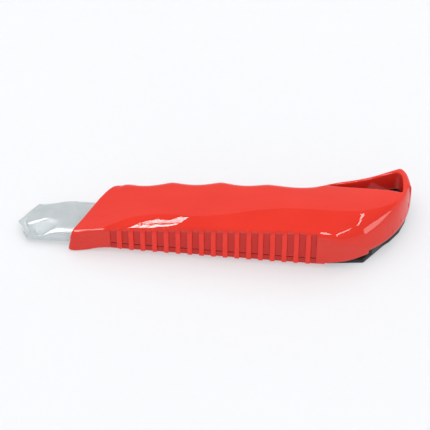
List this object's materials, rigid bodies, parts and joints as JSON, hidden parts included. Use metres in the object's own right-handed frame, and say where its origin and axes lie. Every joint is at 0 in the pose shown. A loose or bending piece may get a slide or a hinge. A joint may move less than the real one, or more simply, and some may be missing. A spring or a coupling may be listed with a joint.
{
  "type": "snap-off utility knife",
  "caption": "Snap-off utility knife: red moulded handle with finger grooves, ribbed edge and hanging loop, steel blade guide, thumb slider, spare blades and pull-off tail cap.",
  "frame": {"origin": "bottom centre of the bounding box, on the surface the knife lies on", "axes": "+X from the blade's nose to the hanging loop, +Y from the ribbed edge to the finger grooves, +Z from the slider side up to the back"},
  "size_m": [0.1668, 0.0502, 0.0207],
  "materials": {
    "red_plastic": "glossy red moulded ABS",
    "black_plastic": "satin black moulded plastic",
    "guide_steel": "satin stamped sheet steel",
    "blade_steel": "ground carbon steel with a polished edge",
    "spring_steel": "blued spring strip",
    "plated_steel": "zinc-plated steel"
  },
  "bodies": {
    "handle": {"back_shell": "red_plastic", "front_cover": "red_plastic", "blade_guide": "guide_steel", "spare_blade_1": "blade_steel", "spare_blade_2": "blade_steel", "magazine_spring": "spring_steel", "guide_pin_1": "plated_steel", "guide_pin_2": "plated_steel", "guide_pin_3": "plated_steel", "cover_screw_1": "plated_steel", "cover_screw_2": "plated_steel", "cover_screw_3": "plated_steel"},
    "blade_carriage": {"blade": "blade_steel", "blade_carrier": "plated_steel", "carrier_pin": "plated_steel"},
    "slider": {"thumb_slider": "black_plastic", "slider_rivet": "plated_steel", "lock_pawl": "spring_steel", "lock_spring": "spring_steel"},
    "cap": {"tail_cap": "black_plastic"}
  },
  "joints": [
    {"name": "blade_slide", "type": "slide", "parent": "handle", "child": "blade_carriage", "axis": [-1, 0, 0], "range_m": [0, 0.065]},
    {"name": "slider_press", "type": "slide", "parent": "blade_carriage", "child": "slider", "axis": [0, 0, 1], "range_m": [0, 0.0006], "stiffness_N_per_m": 1500, "deforming": ["lock_spring"]},
    {"name": "tail_cap_pull", "type": "slide", "parent": "handle", "child": "cap", "axis": [1, 0, 0], "range_m": [0, 0.014]}
  ]
}
